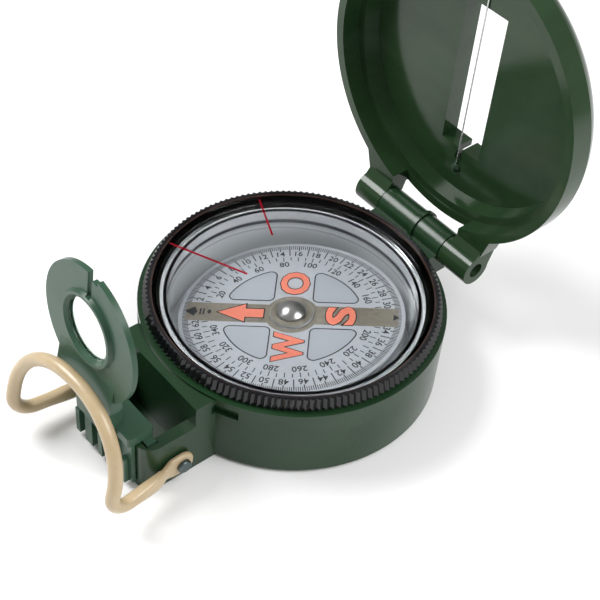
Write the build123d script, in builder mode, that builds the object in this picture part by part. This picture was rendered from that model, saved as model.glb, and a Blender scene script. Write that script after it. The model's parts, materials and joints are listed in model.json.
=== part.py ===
from build123d import *

import os
from math import cos, pi, radians, sin

# Folding lensatic compass, in millimetres. The origin is the centre of the case's
# underside, +Z is up and +Y is the sighting direction, from the lens to the lid hinge.
# The lid stands open at a right angle, and the lens plate stands up.

# Case: a round cup with two side arms at the lens end
case_radius = 28.0
case_height = 15.0
case_floor = 2.0
well_radius = 24.3
bezel_bore_radius = 26.0
bezel_bore_floor = 12.6
edge_round = 0.6
block_half_width = 11.0
block_face_y = -29.9
arm_height = 10.5
arm_end_y = -40.1
arm_end_round = 3.0
arm_inner_x = 8.7
groove_outer_x = 9.8
groove_back_y = -36.7
lip_back_y = -39.0
lip_inner_x = 6.0
pocket_floor = 0.8
seam_groove_width = 0.5
seam_groove_depth = 0.4
recess_width = 4.6
recess_height = 2.0
recess_top = 13.6
recess_depth = 0.8
recess_angle = 27.0

# Capsule with the card inside
capsule_radius = 24.0
capsule_wall = 1.2
capsule_bottom = 2.2
capsule_rim = 15.0
seal_thickness = 0.2
seal_width = 0.6
capsule_window_thickness = 0.8
post_radius = 1.7
post_top = 6.0
plug_radius = 1.2
plug_chamfer = plug_radius / 4
plug_x = 15.0
pin_radius = 0.5
pin_tip_z = 10.9
pin_point_length = 1.2

card_radius = 20.8
card_bottom = 9.9
card_thickness = 0.35
card_north_angle = 225.9
card_dip = 7.1
card_dip_axis_angle = 278.9
hub_radius = 4.0
hub_height = 0.5
magnet_length = 34.0
magnet_width = 4.6
magnet_thickness = 0.8
jewel_radius = 1.2
jewel_height = 1.9
jewel_clearance = 0.15
jewel_mouth_clearance = 0.3
cap_radius = 2.7
cap_height = 1.9

# Bezel
bezel_radius = 27.2
bezel_top_radius = 26.6
bezel_top = 17.6
bezel_flange_bottom = 15.3
knurl_bottom = 15.6
knurl_top = 17.5
knurl_count = 144
knurl_depth = 0.45
skirt_radius = 25.7
skirt_inner = 24.6
skirt_bottom = 12.9
window_seat_radius = 25.75
window_seat_z = 16.2
window_radius = 25.65
window_thickness = 0.9
retainer_inner = 25.4
retainer_thickness = 0.3
ring_wire_radius = 0.3
ring_path_radius = 25.95
ring_z = 13.8
ring_gap_angle = 24.0
index_width = 0.35
index_depth = 0.12
index_outer = 25.5
index_long_inner = 9.4
index_short_inner = 15.4
index_long_angle = 204.5
index_short_angle = 155.5

# Lid hinge
hinge_y = 31.5
hinge_z = 16.0
hinge_end_x = 15.2
case_barrel_radius = 3.2
case_barrel_left = -8.75
case_barrel_right = 7.86
collar_radius = 3.6
collar_left = 0.2
collar_right = 1.0
knuckle_radius = 3.1
knuckle_gap = 0.2
lug_inner_x = 8.95
lug_root_x = 16.6
lug_root_y = 23.6
hinge_pin_radius = 1.2
hinge_pin_half = 14.2
running_gap = 0.07
pin_recess_radius = 1.5
case_lug_bottom = 11.0
case_lug_top = 16.0
case_lug_clear_radius = 27.6

# Lid, in its closed place over the case
lid_radius = 29.0
lid_rim = 16.3
lid_shoulder = 20.6
lid_top = 25.6
lid_top_radius = 23.5
lid_floor = 23.4
lid_ledge = 20.2
lid_mouth_radius = 27.2
lid_ledge_radius = 25.6
lid_floor_radius = 25.0
sight_half_width = 4.75
sight_near_hinge = 16.0
sight_far = -14.5
border_width = 1.5
border_top = 27.4
keyhole_width = 1.3
keyhole_end = 18.0
keyhole_radius = 0.9
wire_radius = 0.15
wire_drop = 0.25
wire_hinge_end = 20.5
wire_far_end = -18.5
blob_radius = 1.1
blob_height = 0.8
far_blob_height = 0.5
skirt_gap_height = 3.7
lens_gate_half_width = 13.0
lens_gate_y = -22.0

# Focus slider and lens plate
slide_gap = 0.2
slider_bottom = 1.0
slider_back_y = -36.9
slider_web_y = -38.8
slider_pad_back_y = -40.3
slider_pad_front_y = -41.0
slider_pad_half = 8.2
rib_front_y = -42.0
rib_pitch = 3.4
rib_short_width = 1.15
rib_long_width = 2.1
rib_short_top = 6.8
cap_bottom = 10.9
cap_top = 12.8
cap_half = 8.3
cap_front_y = -41.6
cap_back_y = -36.5
pivot_y = -41.6
pivot_z = 18.6
ear_inner_x = 2.6
ear_outer_x = 4.5
ear_radius = 1.7
lens_pin_radius = 0.8
lens_lean = 4.5
plate_radius = 12.1
plate_centre = 13.9
plate_back = 1.5
plate_front = 2.5
plate_base_back = 0.6
plate_base_front = 3.1
plate_base_bottom = 1.95
plate_base_half = 7.6
plate_base_upright = 0.8
plate_flare_start = 7.2
plate_knuckle_half = 2.4
lens_centre = 14.65
lens_hole_radius = 5.4
lens_seat_radius = 6.0
lens_seat_depth = 0.7
boss_radius = 6.9
boss_front = 3.2
boss_taper = 26.0
lens_bevel_radius = 6.0
lens_bevel_depth = 0.6
lens_bevel_angle = 45
lens_edge = 0.4
lens_bulge = 0.28
rear_slot_width = 1.1
rear_slot_bottom = 21.3
rear_notch_width = 2.6
rear_notch_x = 0.75
rear_notch_depth = 1.0

# Thumb loop
rivet_y = -33.3
rivet_z = 4.3
rivet_radius = 0.9
rivet_head_radius = 1.3
rivet_head_thickness = 0.8
eye_inner_x = 11.15
eye_thickness = 1.1
eye_radius = 2.3
eye_length = 5.4
loop_wire_radius = 1.25
loop_leg_x = 12.5
loop_half_width = 13.9
loop_left_bend_y = -51.0
loop_right_bend_y = -49.5
loop_bend_z = 4.9
loop_height = 19.4
loop_lean = 12.0
loop_bend_radius = 4.0
loop_top_radius = 13.2


def toothed_circle(radius, depth, count):
    """Corners of a toothed circle: a crest and a root for each tooth."""
    points = []
    for step in range(2 * count):
        reach = radius - depth * (step % 2)
        angle = pi * step / count
        points.append((reach * cos(angle), reach * sin(angle)))
    return points


# ---------------------------------------------------------------- case body

with BuildPart() as case:
    with BuildSketch(Plane.XZ):
        with BuildLine():
            Polyline(
                (0, 0),
                (case_radius - edge_round, 0),
                (case_radius, edge_round),
                (case_radius, case_height),
                (0, case_height),
                close=True,
            )
        make_face()
    revolve(axis=Axis.Z)
    # chord block against which the lens housing stands
    with BuildSketch():
        with Locations((0, block_face_y / 2)):
            Rectangle(2 * block_half_width, -block_face_y)
    extrude(amount=case_height)
    # curved seam between the block and the round wall
    with BuildSketch(Plane.XY.offset(case_height)):
        Circle(case_radius + seam_groove_width)
        Circle(case_radius, mode=Mode.SUBTRACT)
    extrude(amount=-seam_groove_depth, mode=Mode.SUBTRACT)
    # two arms with a plate under them
    with BuildSketch() as arm_plan:
        with Locations((0, (arm_end_y + block_face_y) / 2)):
            Rectangle(2 * block_half_width, block_face_y - arm_end_y)
        fillet(arm_plan.vertices().group_by(Axis.Y)[0], arm_end_round)
    extrude(amount=arm_height)
    with BuildSketch(Plane.XY.offset(pocket_floor)):
        with Locations((0, (lip_back_y + block_face_y) / 2)):
            Rectangle(2 * arm_inner_x, block_face_y - lip_back_y)
        with Locations((0, (lip_back_y + groove_back_y) / 2)):
            Rectangle(2 * groove_outer_x, groove_back_y - lip_back_y)
        with Locations((0, (arm_end_y + lip_back_y) / 2)):
            Rectangle(2 * lip_inner_x, lip_back_y - arm_end_y)
    extrude(amount=arm_height, mode=Mode.SUBTRACT)
    # rivet holes through the arms
    with BuildSketch(Plane.YZ):
        with Locations((rivet_y, rivet_z)):
            Circle(rivet_radius)
    extrude(amount=block_half_width, both=True, mode=Mode.SUBTRACT)
    # shallow recesses under the rim, one each side of the arms
    for side in (-1, 1):
        with PolarLocations(case_radius, 1, start_angle=-90 + side * recess_angle):
            with Locations((0, 0, recess_top - recess_height / 2)):
                Box(2 * recess_depth, recess_width, recess_height, mode=Mode.SUBTRACT)
    # lug and barrel of the lid hinge
    lug_length = case_barrel_right - case_barrel_left
    lug_middle = (case_barrel_right + case_barrel_left) / 2
    with BuildSketch(Plane.XY.offset(case_lug_bottom)):
        with Locations((lug_middle, (hinge_y + well_radius) / 2)):
            Rectangle(lug_length, hinge_y - well_radius)
    extrude(amount=case_lug_top - case_lug_bottom)
    with BuildSketch(Plane.YZ.offset(case_barrel_left)):
        with Locations((hinge_y, hinge_z)):
            Circle(case_barrel_radius)
    extrude(amount=lug_length)
    with BuildSketch(Plane.YZ.offset(collar_left)):
        with Locations((hinge_y, hinge_z)):
            Circle(collar_radius)
    extrude(amount=collar_right - collar_left)
    with BuildSketch(Plane.YZ.offset(case_barrel_left)):
        with Locations((hinge_y, hinge_z)):
            Circle(hinge_pin_radius)
    extrude(amount=lug_length, mode=Mode.SUBTRACT)
    # room for the bezel's flange above the rim
    with BuildSketch(Plane.XY.offset(case_height)):
        Circle(case_lug_clear_radius)
    extrude(amount=bezel_top, mode=Mode.SUBTRACT)
    # stepped bore with a groove for the friction ring
    with BuildSketch(Plane.XY.offset(case_floor)):
        Circle(well_radius)
    extrude(amount=case_height, mode=Mode.SUBTRACT)
    with BuildSketch(Plane.XY.offset(bezel_bore_floor)):
        Circle(bezel_bore_radius)
    extrude(amount=case_height, mode=Mode.SUBTRACT)
    with BuildSketch(Plane.XY.offset(ring_z - ring_wire_radius)):
        Circle(ring_path_radius + ring_wire_radius)
    extrude(amount=2 * ring_wire_radius, mode=Mode.SUBTRACT)

capsule_inner = capsule_radius - capsule_wall
capsule_floor = capsule_bottom + capsule_wall
with BuildPart() as capsule_bowl:
    with BuildSketch(Plane.XZ):
        with BuildLine():
            Polyline(
                (0, capsule_bottom),
                (capsule_radius - edge_round, capsule_bottom),
                (capsule_radius, capsule_bottom + edge_round),
                (capsule_radius, capsule_rim),
                (capsule_inner, capsule_rim),
                (capsule_inner, capsule_floor),
                (post_radius, capsule_floor),
                (post_radius, post_top),
                (pin_radius, post_top),
                (pin_radius, capsule_floor),
                (0, capsule_floor),
                close=True,
            )
        make_face()
    revolve(axis=Axis.Z)
    with BuildSketch(Plane.XY.offset(capsule_bottom)):
        with Locations((plug_x, 0)):
            Circle(plug_radius)
    extrude(amount=capsule_wall, mode=Mode.SUBTRACT)

with BuildPart() as capsule_fill_plug:
    with BuildSketch(Plane.XY.offset(capsule_bottom)):
        with Locations((plug_x, 0)):
            Circle(plug_radius)
    extrude(amount=capsule_wall)
    chamfer(capsule_fill_plug.edges().group_by(Axis.Z)[-1], plug_chamfer)

with BuildPart() as capsule_seal:
    with BuildSketch(Plane.XY.offset(capsule_rim)):
        Circle(capsule_inner + seal_width)
        Circle(capsule_inner, mode=Mode.SUBTRACT)
    extrude(amount=seal_thickness)

with BuildPart() as capsule_window:
    with BuildSketch(Plane.XY.offset(capsule_rim + seal_thickness)):
        Circle(capsule_radius)
    extrude(amount=capsule_window_thickness)
    chamfer(capsule_window.edges().group_by(Axis.Z)[-1], seal_thickness)

with BuildPart() as pivot_pin:
    with BuildSketch(Plane.XZ):
        with BuildLine():
            Polyline(
                (0, capsule_floor),
                (pin_radius, capsule_floor),
                (pin_radius, pin_tip_z - pin_point_length),
                (0, pin_tip_z),
                close=True,
            )
        make_face()
    revolve(axis=Axis.Z)

ring_arc_start = 90 + ring_gap_angle / 2
with BuildPart() as bezel_friction_ring:
    with BuildLine() as ring_path:
        CenterArc((0, 0, ring_z), ring_path_radius, ring_arc_start, 360 - ring_gap_angle)
    with BuildSketch(ring_path.line ^ 0):
        Circle(ring_wire_radius)
    sweep()

with BuildPart() as loop_rivets:
    for side in (-1, 1):
        outward = Plane(origin=(0, rivet_y, rivet_z), x_dir=(0, 1, 0), z_dir=(side, 0, 0))
        with BuildSketch(outward.offset(arm_inner_x)):
            Circle(rivet_radius)
        head_x = eye_inner_x + eye_thickness + running_gap
        extrude(amount=head_x - arm_inner_x)
        with BuildSketch(outward.offset(head_x)):
            Circle(rivet_head_radius)
        extrude(amount=rivet_head_thickness)
    rivet_rims = loop_rivets.edges().filter_by(GeomType.CIRCLE)
    fillet([rivet_rims.sort_by(Axis.X)[0], rivet_rims.sort_by(Axis.X)[-1]], rivet_head_thickness / 2)

with BuildPart() as hinge_pin:
    with BuildSketch(Plane.YZ):
        with Locations((hinge_y, hinge_z)):
            Circle(hinge_pin_radius)
    extrude(amount=hinge_pin_half, both=True)

# ---------------------------------------------------------------- card body

north = Axis((0, 0, 0), (cos(radians(card_north_angle)), sin(radians(card_north_angle)), 0))
card_plane = Plane(origin=(0, 0, 0), x_dir=north.direction, z_dir=(0, 0, 1))
card_top = card_bottom + card_thickness

with BuildPart() as compass_card:
    with BuildSketch(card_plane.offset(card_bottom)):
        Circle(card_radius)
        Circle(jewel_radius, mode=Mode.SUBTRACT)
    extrude(amount=card_thickness)
    with BuildSketch(card_plane.offset(card_top)):
        Circle(hub_radius)
        Circle(jewel_radius, mode=Mode.SUBTRACT)
    extrude(amount=hub_height)

with BuildPart() as magnet_bar:
    with BuildSketch(card_plane.offset(card_bottom)) as magnet_plan:
        Rectangle(magnet_length, magnet_width)
        fillet(magnet_plan.vertices(), edge_round)
        Circle(jewel_radius, mode=Mode.SUBTRACT)
    extrude(amount=-magnet_thickness)

hub_top = card_top + hub_height
with BuildPart() as pivot_cap:
    with BuildSketch(Plane.XZ):
        with BuildLine():
            Line((0, hub_top), (cap_radius, hub_top))
            Line((cap_radius, hub_top), (cap_radius, hub_top + edge_round))
            TangentArc(
                (0, hub_top + cap_height), (cap_radius, hub_top + edge_round), tangent=(1, 0)
            )
            Line((0, hub_top + cap_height), (0, hub_top))
        make_face()
    revolve(axis=Axis.Z)
    with BuildSketch(Plane.XY.offset(hub_top)):
        Circle(jewel_radius)
    extrude(amount=jewel_height - hub_height - card_thickness, mode=Mode.SUBTRACT)

# the jewel's cone stands a small gap clear of the pin's point
jewel_apex = pin_tip_z + jewel_clearance
jewel_mouth = pin_radius + jewel_mouth_clearance
with BuildPart() as pivot_jewel:
    with BuildSketch(Plane.XZ):
        with BuildLine():
            Polyline(
                (jewel_mouth, card_bottom),
                (jewel_radius, card_bottom),
                (jewel_radius, card_bottom + jewel_height),
                (0, card_bottom + jewel_height),
                (0, jewel_apex),
                close=True,
            )
        make_face()
    revolve(axis=Axis.Z)

# The card floats with its south-west side higher, tilted about the point of the pin
dip_direction = (cos(radians(card_dip_axis_angle)), sin(radians(card_dip_axis_angle)), 0)
dip_axis = Axis((0, 0, pin_tip_z), dip_direction)
compass_card.part = compass_card.part.rotate(dip_axis, card_dip)
magnet_bar.part = magnet_bar.part.rotate(dip_axis, card_dip)
pivot_cap.part = pivot_cap.part.rotate(dip_axis, card_dip)
pivot_jewel.part = pivot_jewel.part.rotate(dip_axis, card_dip)

# ---------------------------------------------------------------- bezel body

with BuildPart() as index_lines:
    for angle, inner in (
        (index_long_angle, index_long_inner),
        (index_short_angle, index_short_inner),
    ):
        direction = (cos(radians(angle)), sin(radians(angle)), 0)
        line_plane = Plane(origin=(0, 0, window_seat_z), x_dir=direction, z_dir=(0, 0, 1))
        with BuildSketch(line_plane):
            with Locations(((index_outer + inner) / 2, 0)):
                Rectangle(index_outer - inner, index_width)
        extrude(amount=-index_depth)

with BuildPart() as bezel_ring:
    # knurled flank, narrower at the top, between a plain foot and a plain top ring
    for height, crest in ((knurl_bottom, bezel_radius), (knurl_top, bezel_top_radius)):
        with BuildSketch(Plane.XY.offset(height)):
            with BuildLine():
                Polyline(*toothed_circle(crest, knurl_depth, knurl_count), close=True)
            make_face()
    loft(ruled=True)
    with BuildSketch(Plane.XY.offset(bezel_flange_bottom)):
        Circle(bezel_radius - knurl_depth)
    extrude(amount=knurl_bottom - bezel_flange_bottom)
    with BuildSketch(Plane.XY.offset(knurl_top)):
        Circle(bezel_top_radius - knurl_depth)
    extrude(amount=bezel_top - knurl_top)
    with BuildSketch(Plane.XY.offset(skirt_bottom)):
        Circle(skirt_radius)
    extrude(amount=bezel_flange_bottom - skirt_bottom)
    with BuildSketch(Plane.XY.offset(window_seat_z)):
        Circle(window_seat_radius)
    extrude(amount=bezel_top - window_seat_z, mode=Mode.SUBTRACT)
    with BuildSketch(Plane.XY.offset(skirt_bottom)):
        Circle(skirt_inner)
    extrude(amount=bezel_top - skirt_bottom, mode=Mode.SUBTRACT)
    # the red lines' outer ends lie in shallow cuts across the window's seat
    add(index_lines.part, mode=Mode.SUBTRACT)
    # groove round the skirt that clears the friction ring
    ring_clear = 2 * ring_wire_radius
    with BuildSketch(Plane.XY.offset(ring_z - ring_clear)):
        Circle(skirt_radius)
        Circle(ring_path_radius - ring_clear, mode=Mode.SUBTRACT)
    extrude(amount=2 * ring_clear, mode=Mode.SUBTRACT)

with BuildPart() as bezel_window:
    with BuildSketch(Plane.XY.offset(window_seat_z)):
        Circle(window_radius)
    extrude(amount=window_thickness)

with BuildPart() as window_retainer:
    with BuildSketch(Plane.XY.offset(window_seat_z + window_thickness)):
        Circle(window_seat_radius)
        Circle(retainer_inner, mode=Mode.SUBTRACT)
    extrude(amount=retainer_thickness)

# ---------------------------------------------------------------- lid body

# The closed lid's frame, turned back by a right angle about the hinge
lid_plane = Plane(
    origin=(0, hinge_y - hinge_z, hinge_z + hinge_y), x_dir=(1, 0, 0), z_dir=(0, 1, 0)
)
lid_section = Plane(origin=lid_plane.origin, x_dir=lid_plane.x_dir, z_dir=-lid_plane.y_dir)
lid_side = Plane(origin=lid_plane.origin, x_dir=lid_plane.y_dir, z_dir=lid_plane.x_dir)
lid_axis = Axis(lid_plane.origin, lid_plane.z_dir)
shoulder_middle = (
    (lid_radius + lid_top_radius) / 2 + edge_round,
    (lid_shoulder + lid_top) / 2 + edge_round,
)
sight_middle = (sight_near_hinge + sight_far) / 2
sight_length = sight_near_hinge - sight_far

with BuildPart() as lid:
    with BuildSketch(lid_section):
        with BuildLine():
            Line((0, lid_rim), (lid_radius, lid_rim))
            Line((lid_radius, lid_rim), (lid_radius, lid_shoulder))
            ThreePointArc((lid_radius, lid_shoulder), shoulder_middle, (lid_top_radius, lid_top))
            Line((lid_top_radius, lid_top), (0, lid_top))
            Line((0, lid_top), (0, lid_rim))
        make_face()
    revolve(axis=lid_axis)
    # raised border round the sighting window
    with BuildSketch(lid_plane.offset(lid_top)) as border_plan:
        with Locations((0, sight_middle)):
            Rectangle(2 * (sight_half_width + border_width), sight_length + 2 * border_width)
        fillet(border_plan.vertices(), border_width)
    extrude(amount=border_top - lid_top)
    # the skirt is open between the hinge lugs
    with BuildSketch(lid_plane.offset(lid_rim)):
        with Locations((0, case_radius)):
            Rectangle(2 * lug_inner_x, 2 * (case_radius - well_radius))
    extrude(amount=skirt_gap_height, mode=Mode.SUBTRACT)
    # a lug and a knuckle at each end of the hinge
    for low_x, high_x in (
        (-hinge_end_x, -lug_inner_x),
        (case_barrel_right + knuckle_gap, hinge_end_x),
    ):
        with BuildSketch(lid_side.offset(low_x)):
            with Locations((hinge_y, hinge_z)):
                Circle(knuckle_radius)
        extrude(amount=high_x - low_x)
    for low_x in (-hinge_end_x, lug_inner_x):
        with BuildSketch(lid_side.offset(low_x)):
            with BuildLine():
                Polyline(
                    (hinge_y, hinge_z + knuckle_radius),
                    (hinge_y, hinge_z - knuckle_radius),
                    (lid_mouth_radius, lid_rim),
                    (well_radius - knuckle_radius, lid_rim),
                    (well_radius - knuckle_radius, lid_shoulder),
                    (lid_mouth_radius, lid_shoulder),
                    close=True,
                )
            make_face()
        extrude(amount=hinge_end_x - lug_inner_x)
    # each lug fans out where it meets the skirt
    for side in (-1, 1):
        with BuildSketch(lid_plane.offset(lid_rim)):
            with BuildLine():
                Polyline(
                    (side * lug_inner_x, lug_root_y),
                    (side * lug_root_x, lug_root_y),
                    (side * hinge_end_x, hinge_y - knuckle_radius),
                    (side * lug_inner_x, hinge_y - knuckle_radius),
                    close=True,
                )
            make_face()
        extrude(amount=lid_shoulder - lid_rim)
    # the two steps of the cup
    with BuildSketch(lid_section):
        with BuildLine():
            Polyline(
                (0, lid_rim - edge_round),
                (lid_mouth_radius, lid_rim - edge_round),
                (lid_mouth_radius, lid_ledge),
                (lid_ledge_radius, lid_ledge),
                (lid_floor_radius, lid_floor),
                (0, lid_floor),
                close=True,
            )
        make_face()
    revolve(axis=lid_axis, mode=Mode.SUBTRACT)
    # sighting window with a keyhole for the wire
    with BuildSketch(lid_plane.offset(lid_floor)):
        with Locations((0, sight_middle)):
            Rectangle(2 * sight_half_width, sight_length)
        with Locations((0, (sight_near_hinge + keyhole_end) / 2)):
            Rectangle(keyhole_width, keyhole_end - sight_near_hinge)
        with Locations((0, keyhole_end)):
            Circle(keyhole_radius)
    extrude(amount=border_top - lid_floor, mode=Mode.SUBTRACT)
    # and open at the far side, where the lens plate lies when the lid is shut
    with BuildSketch(lid_plane.offset(lid_rim - edge_round)):
        with Locations((0, (lens_gate_y - lid_radius - edge_round) / 2)):
            Rectangle(2 * lens_gate_half_width, lid_radius + edge_round + lens_gate_y)
    extrude(amount=lid_floor - lid_rim + edge_round, mode=Mode.SUBTRACT)
    # running bore and a wider mouth at the right end
    with BuildSketch(lid_side.offset(-hinge_end_x)):
        with Locations((hinge_y, hinge_z)):
            Circle(hinge_pin_radius + running_gap)
    extrude(amount=2 * hinge_end_x, mode=Mode.SUBTRACT)
    with BuildSketch(lid_side.offset(hinge_pin_half)):
        with Locations((hinge_y, hinge_z)):
            Circle(pin_recess_radius)
    extrude(amount=hinge_end_x - hinge_pin_half, mode=Mode.SUBTRACT)

with BuildPart() as sight_wire:
    with BuildSketch(lid_section.offset(-wire_hinge_end)):
        with Locations((0, lid_floor - wire_drop)):
            Circle(wire_radius)
    extrude(amount=wire_hinge_end - wire_far_end)

with BuildPart() as wire_anchors:
    for end_y, height in (
        (wire_hinge_end, blob_height),
        (wire_far_end, far_blob_height),
    ):
        blob_section = lid_section.offset(-end_y)
        with BuildSketch(blob_section):
            with BuildLine():
                Line((0, lid_floor), (blob_radius, lid_floor))
                TangentArc((0, lid_floor - height), (blob_radius, lid_floor), tangent=(1, 0))
                Line((0, lid_floor - height), (0, lid_floor))
            make_face()
        revolve(axis=Axis(blob_section.origin, lid_plane.z_dir))
    add(sight_wire.part, mode=Mode.SUBTRACT)

# ---------------------------------------------------------------- focus slider body

with BuildPart() as lens_slider:
    tongue_half = groove_outer_x - slide_gap
    web_half = lip_inner_x - slide_gap
    with BuildSketch(Plane.XY.offset(slider_bottom)):
        with Locations((0, (slider_back_y + slider_web_y) / 2)):
            Rectangle(2 * tongue_half, slider_back_y - slider_web_y)
        with Locations((0, (slider_web_y + slider_pad_back_y) / 2)):
            Rectangle(2 * web_half, slider_web_y - slider_pad_back_y)
        with Locations((0, (slider_pad_back_y + slider_pad_front_y) / 2)):
            Rectangle(2 * slider_pad_half, slider_pad_back_y - slider_pad_front_y)
    extrude(amount=cap_bottom - slider_bottom)
    with BuildSketch(Plane.XY.offset(cap_bottom)) as cap_plan:
        with Locations((0, (cap_front_y + cap_back_y) / 2)):
            Rectangle(2 * cap_half, cap_back_y - cap_front_y)
        fillet(cap_plan.vertices(), edge_round)
    extrude(amount=cap_top - cap_bottom)
    # five upright grip ribs, three short and two long
    for number in range(-2, 3):
        long_rib = number % 2 == 1
        width = rib_long_width if long_rib else rib_short_width
        top = cap_bottom if long_rib else rib_short_top
        middle = (slider_bottom + top) / 2
        with BuildSketch(Plane.XZ.offset(-slider_pad_front_y)):
            with Locations((number * rib_pitch, middle)):
                Rectangle(width, top - slider_bottom)
        extrude(amount=slider_pad_front_y - rib_front_y)
    # neck with two ears that carry the lens plate's pin
    for side in (-1, 1):
        with BuildSketch(Plane.YZ.offset(side * ear_inner_x)):
            with Locations((pivot_y, pivot_z)):
                Circle(ear_radius)
            with Locations((pivot_y, (pivot_z + cap_top) / 2)):
                Rectangle(2 * ear_radius, pivot_z - cap_top)
            with Locations((pivot_y, pivot_z)):
                Circle(lens_pin_radius, mode=Mode.SUBTRACT)
        extrude(amount=side * (ear_outer_x - ear_inner_x))
    with BuildSketch(Plane.XY.offset(cap_top)):
        with Locations((0, pivot_y)):
            Rectangle(2 * ear_outer_x, 2 * ear_radius)
    extrude(amount=pivot_z - cap_top - 2 * ear_radius)
    # the ears' front half overhangs the cap, so a foot carries it
    with BuildSketch(Plane.XY.offset(cap_bottom)):
        with Locations((0, (pivot_y - ear_radius + cap_back_y) / 2)):
            Rectangle(2 * ear_outer_x, cap_back_y - pivot_y + ear_radius)
    extrude(amount=cap_top - cap_bottom)

with BuildPart() as lens_hinge_pin:
    with BuildSketch(Plane.YZ):
        with Locations((pivot_y, pivot_z)):
            Circle(lens_pin_radius)
    extrude(amount=ear_outer_x, both=True)

# ---------------------------------------------------------------- lens plate body

# The plate's face plane: x across, y up along the leaning plate, z out of its front
plate_up = (0, sin(radians(lens_lean)), cos(radians(lens_lean)))
plate_out = (0, -cos(radians(lens_lean)), sin(radians(lens_lean)))
plate_plane = Plane(origin=(0, pivot_y, pivot_z), x_dir=(1, 0, 0), z_dir=plate_out)
# its side view: x up along the plate, y out of its front
plate_side = Plane(origin=(0, pivot_y, pivot_z), x_dir=plate_up, z_dir=(1, 0, 0))
plate_thickness = plate_front - plate_back
boss_thickness = boss_front - plate_back
plate_top = plate_centre + plate_radius

with BuildPart() as lens_plate:
    with BuildSketch(plate_plane.offset(plate_back)):
        with Locations((0, plate_centre)):
            Circle(plate_radius)
    extrude(amount=plate_thickness)
    # base that flares towards the front
    with BuildSketch(plate_side.offset(-plate_base_half)):
        with BuildLine():
            Polyline(
                (plate_flare_start, plate_back),
                (plate_base_bottom + edge_round, plate_base_back),
                (plate_base_bottom, plate_base_back + edge_round),
                (plate_base_bottom, plate_base_front),
                (plate_base_bottom + plate_base_upright, plate_base_front),
                (plate_flare_start, plate_front),
                close=True,
            )
        make_face()
    extrude(amount=2 * plate_base_half)
    with BuildSketch(plate_side.offset(-plate_knuckle_half)):
        Circle(ear_radius)
        with Locations(((plate_base_bottom + edge_round) / 2, ear_radius / 2)):
            Rectangle(plate_base_bottom + edge_round, ear_radius)
    extrude(amount=2 * plate_knuckle_half)
    with BuildSketch(plate_side.offset(-plate_knuckle_half)):
        Circle(lens_pin_radius + running_gap)
    extrude(amount=2 * plate_knuckle_half, mode=Mode.SUBTRACT)
    # raised boss with a bevelled mouth in front, seat for the lens behind
    with BuildSketch(plate_plane.offset(plate_front)):
        with Locations((0, lens_centre)):
            Circle(boss_radius)
    extrude(amount=boss_front - plate_front, taper=boss_taper)
    with BuildSketch(plate_plane.offset(boss_front)):
        with Locations((0, lens_centre)):
            Circle(lens_bevel_radius)
    extrude(amount=-lens_bevel_depth, taper=lens_bevel_angle, mode=Mode.SUBTRACT)
    with BuildSketch(plate_plane.offset(plate_back)):
        with Locations((0, lens_centre)):
            Circle(lens_hole_radius)
    extrude(amount=boss_thickness, mode=Mode.SUBTRACT)
    with BuildSketch(plate_plane.offset(plate_back)):
        with Locations((0, lens_centre)):
            Circle(lens_seat_radius)
    extrude(amount=lens_seat_depth, mode=Mode.SUBTRACT)
    # rear sight slot with a wider notch at the rim
    with BuildSketch(plate_plane.offset(plate_back)):
        with Locations((0, (rear_slot_bottom + plate_top) / 2)):
            Rectangle(rear_slot_width, plate_top - rear_slot_bottom)
        with Locations((rear_notch_x, plate_top)):
            Rectangle(rear_notch_width, 2 * rear_notch_depth)
    extrude(amount=boss_thickness, mode=Mode.SUBTRACT)

# The lens's section: x from its axis outwards, y out of the plate's front
lens_origin = plate_plane.from_local_coords(Vector(0, lens_centre, 0))
lens_section = Plane(origin=lens_origin, x_dir=(1, 0, 0), z_dir=-plate_plane.y_dir)
lens_front = plate_back + lens_seat_depth
lens_back = lens_front - lens_edge

with BuildPart() as magnifier_lens:
    with BuildSketch(lens_section):
        with BuildLine():
            Line((0, lens_back - lens_bulge), (0, lens_front + lens_bulge))
            TangentArc(
                (0, lens_front + lens_bulge), (lens_hole_radius, lens_front), tangent=(1, 0)
            )
            Line((lens_hole_radius, lens_front), (lens_seat_radius, lens_front))
            Line((lens_seat_radius, lens_front), (lens_seat_radius, lens_back))
            Line((lens_seat_radius, lens_back), (lens_hole_radius, lens_back))
            TangentArc(
                (0, lens_back - lens_bulge), (lens_hole_radius, lens_back), tangent=(1, 0)
            )
        make_face()
    revolve(axis=Axis(lens_origin, plate_plane.z_dir))

with BuildPart() as lens_retaining_ring:
    with BuildSketch(plate_plane.offset(plate_back)):
        with Locations((0, lens_centre)):
            Circle(lens_seat_radius)
            Circle(lens_hole_radius, mode=Mode.SUBTRACT)
    extrude(amount=lens_seat_depth - lens_edge)

# ---------------------------------------------------------------- loop body

# Wire from one eye out to a bend, up over the arch and back down to the other eye
loop_rise = loop_height * cos(radians(loop_lean))
loop_back = loop_height * sin(radians(loop_lean))
loop_start_y = rivet_y - eye_length + eye_radius
loop_top_z = loop_bend_z + loop_rise
loop_corners = [
    (loop_leg_x, loop_start_y, rivet_z),
    (loop_half_width, loop_right_bend_y, loop_bend_z),
    (loop_half_width, loop_right_bend_y + loop_back, loop_top_z),
    (-loop_half_width, loop_left_bend_y + loop_back, loop_top_z),
    (-loop_half_width, loop_left_bend_y, loop_bend_z),
    (-loop_leg_x, loop_start_y, rivet_z),
]

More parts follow.
